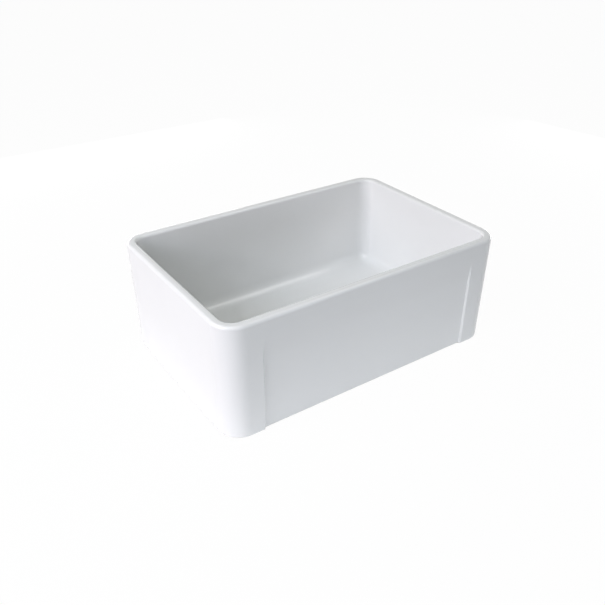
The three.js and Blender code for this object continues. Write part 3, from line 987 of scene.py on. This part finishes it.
def buildBasket():
    low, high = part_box("basket_cup")
    b = basket
    sheet, plate, lip = b["sheet"], low.z + b["sheet"], high.z - b["sheet"]
    lean = (b["wallTop"] - b["footRadius"]) / (high.z - sheet - low.z)
    innerFoot = b["footRadius"] + sheet * lean - sheet * math.hypot(1, lean)
    underLipRound, insideLipRound = b["wallTopRounds"]
    lowerLipRound, upperLipRound = b["lipRounds"]
    cup = turned("basketCup", [
        (b["bore"], low.z, b["boreRound"]), (b["footRadius"], low.z, b["footRound"]),
        (b["wallTop"], lip, underLipRound), (b["lipRadius"], lip, lowerLipRound),
        (b["lipRadius"], high.z, upperLipRound), (b["wallTop"] - sheet, high.z, insideLipRound),
        (innerFoot, plate, b["innerFootRound"]), (b["bore"], plate, b["boreRound"])])

    bm = bmesh.new()
    wall = high.z - low.z - b["footRound"]
    spacing = (wall - sheet) / (b["sideRows"] + b["rowMargin"])
    for row in range(b["sideRows"]):
        rise = spacing * (row + b["rowStart"])
        radius = b["wallFoot"] + (b["wallTop"] - b["wallFoot"]) * rise / wall
        for i in range(b["sideHoles"]):
            punchHole(bm, b["sideHoleRadius"], b["sideHoleFacets"],
                      Matrix.Rotation(fullTurn * (i + row % 2 / 2) / b["sideHoles"], 4, "Z")
                      @ Matrix.Translation((radius - sheet / 2, 0, low.z + b["footRound"] + rise))
                      @ Matrix.Rotation(math.pi / 2, 4, "Y"))
    for i in range(b["bottomHoles"]):
        punchHole(bm, b["bottomHoleRadius"], b["bottomHoleFacets"],
                  Matrix.Rotation(fullTurn * i / b["bottomHoles"], 4, "Z")
                  @ Matrix.Translation((b["bottomCircle"], 0, low.z + sheet / 2)))
    carve(cup, bm)
    dress(cup, [polishedSteel], "basket", "basket_cup")


post = {
    "radius": 0.004,
    "topRound": 0.0003,
    "collar": 0.006,
    "collarHeight": 0.003,
    "collarBottom": -0.01335,
    "collarRound": 0.0004,
    "collarRoots": (0.0002, 0.0005),  # roundings where the stem meets it, below and above
    "tipRound": 0.0019,
    "grooveRise": 0.0034,  # the groove round the stem's tip
    "grooveHalf": 0.0005,
    "grooveDepth": 0.0004,
}


def buildPost():
    low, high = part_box("basket_post")
    p = post
    radius = p["radius"]
    collarBottom = p["collarBottom"]
    collarTop = collarBottom + p["collarHeight"]
    lowerRoot, upperRoot = p["collarRoots"]
    groove = low.z + p["grooveRise"]
    stem = turned("basketPost", [
        (0, low.z, 0), (radius, low.z, p["tipRound"]),
        (radius, groove - p["grooveHalf"], 0), (radius - p["grooveDepth"], groove, 0),
        (radius, groove + p["grooveHalf"], 0), (radius, collarBottom, lowerRoot),
        (p["collar"], collarBottom, p["collarRound"]), (p["collar"], collarTop, p["collarRound"]),
        (radius, collarTop, upperRoot), (radius, high.z, p["topRound"]), (0, high.z, 0)],
        closed=False, steps=smallSteps)
    dress(stem, [polishedSteel], "basket", "basket_post")


knob = {
    "radius": 0.0095,
    "socket": 0.0043,
    "socketDepth": 0.006,
    "socketRound": 0.0004,
    "lowerRound": 0.003,
    "upperRound": 0.0034,
    "crown": 0.0016,  # rise of the top from its edge to its middle
    "crownFlat": 0.0028,
    "crownRound": 0.001,
}


def buildKnob():
    low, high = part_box("basket_knob")
    k = knob
    socketTop = low.z + k["socketDepth"]
    cap = turned("basketKnob", [
        (0, socketTop, 0), (k["socket"], socketTop, 0), (k["socket"], low.z, k["socketRound"]),
        (k["radius"], low.z, k["lowerRound"]), (k["radius"], high.z - k["crown"], k["upperRound"]),
        (k["crownFlat"], high.z, k["crownRound"]), (0, high.z, 0)],
        closed=False, steps=smallSteps)
    dress(cap, [polishedSteel], "basket", "basket_knob")


stopper = {
    "bore": 0.0044,
    "boreRound": 0.0003,
    "rimRound": 0.0012,
    "grooveRadius": 0.0205,
    "grooveHalf": 0.0009,
    "grooveFloor": 0.0004,  # half its width at the bottom
    "grooveDepth": 0.0005,
}


def buildStopper():
    low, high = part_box("stopper_seal")
    s = stopper
    groove, half, floor = s["grooveRadius"], s["grooveHalf"], s["grooveFloor"]
    grooveTop = low.z + s["grooveDepth"]
    disc = turned("stopperSeal", [
        (s["bore"], low.z, s["boreRound"]), (groove - half, low.z, 0), (groove - floor, grooveTop, 0),
        (groove + floor, grooveTop, 0), (groove + half, low.z, 0), (high.x, low.z, s["rimRound"]),
        (high.x, high.z, s["rimRound"]), (s["bore"], high.z, s["boreRound"])])
    dress(disc, [blackRubber], "basket", "stopper_seal")


sealWasher = {
    "rounds": (0.0001, 0.0004, 0.0002, 0.0001),
}


def buildSealWasher():
    low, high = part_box("seal_washer")
    ring = turned("sealWasher", ringSection(basket["bore"], high.x, low.z, high.z,
                                            sealWasher["rounds"]), steps=smallSteps)
    dress(ring, [polishedSteel], "basket", "seal_washer")


stemNut = {
    "acrossFlats": 0.014,
    "cornerRound": 0.0003,
    "chamfer": 0.0007,
    "bore": 0.0044,
    "lead": (0.0014, 0.0004),  # the bore's chamfer: how much wider it gets, and its depth
    "steps": 72,
}


def buildStemNut():
    low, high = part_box("stem_nut")
    n = stemNut
    flat = n["acrossFlats"] / 2
    corner = flat / hexCosine
    nut = turned("stemNut", [
        (0, low.z, 0), (flat, low.z, 0), (corner, low.z + n["chamfer"], 0),
        (corner, high.z - n["chamfer"], 0), (flat, high.z, 0), (0, high.z, 0)],
        closed=False, steps=n["steps"])
    bottom, top = low.z - pastFace, high.z + pastFace
    carve(nut, hexagon(n["acrossFlats"], bottom, top, n["cornerRound"]), "INTERSECT")
    widen, depth = n["lead"]
    bm = bmesh.new()
    turn(bm, [(0, bottom, 0), (n["bore"] + widen, bottom, 0), (n["bore"], low.z + depth, 0),
              (n["bore"], high.z - depth, 0), (n["bore"] + widen, top, 0), (0, top, 0)],
         closed=False, steps=boreSteps)
    carve(nut, bm)
    dress(nut, [turnedBrass], "basket", "stem_nut")


clip = {
    "inner": 0.0043,
    "outer": 0.00505,
    "slot": 0.002,
    "bandHalf": 0.0008,  # half the height of its widest part
    "waist": 0.00012,  # the sleeve's ends draw in by this, so it snaps into the guide
}


def buildClip():
    low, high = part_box("detent_clip")
    c = clip
    middle = (low.z + high.z) / 2
    end = c["outer"] - c["waist"]
    half = math.asin(c["slot"] / 2 / ((c["inner"] + c["outer"]) / 2))
    bm = bmesh.new()
    turn(bm, [(c["inner"], low.z, 0), (end, low.z, 0), (c["outer"], middle - c["bandHalf"], 0),
              (c["outer"], middle + c["bandHalf"], 0), (end, high.z, 0), (c["inner"], high.z, 0)],
         steps=boreSteps, angle=2 * (math.pi - half), start=half)
    bmesh.ops.holes_fill(bm, edges=[e for e in bm.edges if e.is_boundary], sides=8)
    dress(addObject("detentClip", bm), [polishedSteel], "basket", "detent_clip")


buildBasket()
buildPost()
buildKnob()
buildStopper()
buildSealWasher()
buildStemNut()
buildClip()


# floor, light and camera

studio = {
    "floorReach": 20.0,
    "floorDrop": 0.0004,
    "floorRoughness": 0.9,
    "deckMargin": 0.02,  # deck that shows under the foot before its cut-out
    "shadowShare": 0.03,
    # the camera sees the floor at tableWhite; for the light it gives back, the floor holds a painted
    # pool of light round the sink that fades to painted shade between the two distances of tableEdge
    "tableWhite": 0.88,
    "paintedShadeBeyondTable": 0.1,
    "tableEdge": (0.5, 0.9),
    "worldLight": 0.04,
}


def whiteForCamera(tree):  # 1 for camera, mirror and glass rays, 0 for light on the object
    path = tree.nodes.new("ShaderNodeLightPath")
    firstSum = tree.nodes.new("ShaderNodeMath")
    firstSum.operation = "ADD"
    total = tree.nodes.new("ShaderNodeMath")
    total.operation = "ADD"
    total.use_clamp = True
    tree.links.new(path.outputs["Is Camera Ray"], firstSum.inputs[0])
    tree.links.new(path.outputs["Is Glossy Ray"], firstSum.inputs[1])
    tree.links.new(firstSum.outputs["Value"], total.inputs[0])
    tree.links.new(path.outputs["Is Transmission Ray"], total.inputs[1])
    return total.outputs["Value"]


def floorMaterial():
    material, tree, shader = newMaterial("studioWhite")
    shader.inputs["Roughness"].default_value = studio["floorRoughness"]
    # painted pool of light and painted shade: for the light it gives back, the floor's colour is pale on
    # a small table round the sink and dark past it, so past it the floor gives the object little light
    # back
    place = tree.nodes.new("ShaderNodeTexCoord")
    away = tree.nodes.new("ShaderNodeVectorMath")
    away.operation = "LENGTH"
    tree.links.new(place.outputs["Object"], away.inputs[0])
    fall = spread(tree, away.outputs["Value"], studio["tableWhite"], studio["paintedShadeBeyondTable"],
                  *studio["tableEdge"])
    path = tree.nodes.new("ShaderNodeLightPath")
    seen = tree.nodes.new("ShaderNodeMapRange")
    seen.inputs["To Max"].default_value = studio["tableWhite"]
    tree.links.new(path.outputs["Is Camera Ray"], seen.inputs["Value"])
    tree.links.new(fall, seen.inputs["To Min"])
    tree.links.new(seen.outputs["Result"], shader.inputs["Base Color"])
    white = tree.nodes.new("ShaderNodeEmission")
    share = tree.nodes.new("ShaderNodeMath")
    share.operation = "MULTIPLY"
    share.inputs[1].default_value = 1 - studio["shadowShare"]
    tree.links.new(whiteForCamera(tree), share.inputs[0])
    mix = tree.nodes.new("ShaderNodeMixShader")
    tree.links.new(share.outputs["Value"], mix.inputs["Fac"])
    tree.links.new(shader.outputs["BSDF"], mix.inputs[1])
    tree.links.new(white.outputs["Emission"], mix.inputs[2])
    # nothing shows from below, where the cabinet would be
    back = tree.nodes.new("ShaderNodeNewGeometry")
    clear = tree.nodes.new("ShaderNodeBsdfTransparent")
    sides = tree.nodes.new("ShaderNodeMixShader")
    tree.links.new(back.outputs["Backfacing"], sides.inputs["Fac"])
    tree.links.new(mix.outputs["Shader"], sides.inputs[1])
    tree.links.new(clear.outputs["BSDF"], sides.inputs[2])
    tree.links.new(sides.outputs["Shader"], tree.nodes["Material Output"].inputs["Surface"])
    return material


def studioFloor():  # a wide deck, cut out under the sink for its strainer
    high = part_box("fireclay_basin")[1]
    inset = basin["outerTaper"] + studio["deckMargin"]
    halfX, halfY = high.x - inset, high.y - inset
    reach = studio["floorReach"]
    bm = bmesh.new()
    rim = bmesh.ops.create_grid(bm, x_segments=1, y_segments=1, size=1)
    bmesh.ops.scale(bm, vec=(halfX, halfY, 1), verts=rim["verts"])
    bmesh.ops.translate(bm, vec=(0, 0, -studio["floorDrop"]), verts=rim["verts"])
    bmesh.ops.delete(bm, geom=bm.faces[:], context="FACES_ONLY")
    outer = bmesh.ops.extrude_edge_only(bm, edges=bm.edges[:])["geom"]
    bmesh.ops.scale(bm, vec=(reach / halfX, reach / halfY, 1), verts=onlyVerts(outer))
    floor = addObject("studioFloor", bm)
    if floor.data.polygons[0].normal.z < 0:
        floor.data.flip_normals()
    floor.data.materials.append(floorMaterial())


def studioWorld():
    world = bpy.data.worlds.new("studio")
    world.use_nodes = True
    bpy.context.scene.world = world
    tree = world.node_tree
    background = tree.nodes["Background"]
    background.inputs["Color"].default_value = (1, 1, 1, 1)
    level = tree.nodes.new("ShaderNodeMapRange")
    level.inputs["To Min"].default_value = studio["worldLight"]
    level.inputs["To Max"].default_value = 1.0
    tree.links.new(whiteForCamera(tree), level.inputs["Value"])
    tree.links.new(level.outputs["Result"], background.inputs["Strength"])


lamps = {
    "leftHigh": {"place": (-2.27, -0.36, 1.61), "size": (1.7, 1.1), "power": 35.5,
                 "colour": (0.84, 0.9, 1)},
    "leftLow": {"place": (-2.62, -0.23, 0.96), "size": (1.7, 1.1), "power": 23,
                "colour": (1, 0.86, 0.86)},
    "frontLow": {"place": (0, -1.69, 0.21), "size": (1.4, 0.5), "power": 6.1,
                 "colour": (0.87, 0.92, 1)},
    "overheadBack": {"place": (-1.32, 0.92, 2.29), "size": (1.5, 1.5), "power": 11,
                     "colour": (1, 0.96, 0.89)},
    "overheadFront": {"place": (-0.99, -0.99, 2.43), "size": (1.5, 1.5), "power": 10,
                      "colour": (0.89, 1, 0.91)},
    # draws the bright line along the foot of the bowl's back wall
    "overheadRight": {"place": (1.27, -0.62, 2.42), "size": (1.3, 1.15), "power": 11},
    # these two stay low, so that they light the outside and not the bowl
    "backLow": {"place": (0, 1.69, 0.21), "size": (1.4, 0.5), "power": 8},
    "rightLow": {"place": (1.9, 0.25, 0.24), "size": (1.3, 0.5), "power": 7},
}

lampAim = (0, 0, 0.12)


def addLamp(name, place, size, power, colour=(1, 1, 1)):
    light = bpy.data.lights.new(name, "AREA")
    light.shape = "RECTANGLE"
    light.size, light.size_y = size
    light.energy = power
    light.color = colour
    lamp = bpy.data.objects.new(name, light)
    lamp.location = place
    lamp.rotation_euler = (Vector(lampAim) - Vector(place)).to_track_quat("-Z", "Y").to_euler()
    lamp.visible_camera = False
    bpy.context.scene.collection.objects.link(lamp)


camera = {
    "azimuth": -34.367,  # degrees round the object from straight in front
    "elevation": 30.733,
    "target": (-0.063171, -0.059513, 0.138875),
    "distance": 1.483376,
    "lens": 41.241,
    "sensor": 36,
    "clip": (0.01, 50),
}


def addCamera():
    a, e = math.radians(camera["azimuth"]), math.radians(camera["elevation"])
    back = Vector((math.sin(a) * math.cos(e), -math.cos(a) * math.cos(e), math.sin(e)))
    data = bpy.data.cameras.new("photoCamera")
    data.lens = camera["lens"]
    data.sensor_width = camera["sensor"]
    data.clip_start, data.clip_end = camera["clip"]
    view = bpy.data.objects.new("photoCamera", data)
    view.location = Vector(camera["target"]) + back * camera["distance"]
    view.rotation_euler = (-back).to_track_quat("-Z", "Y").to_euler()
    bpy.context.scene.collection.objects.link(view)
    bpy.context.scene.camera = view


studioFloor()
studioWorld()
for name, lamp in lamps.items():
    addLamp(name, **lamp)
addCamera()
bpy.context.scene.view_settings.view_transform = "Standard"
print("set the studio")

print("done")
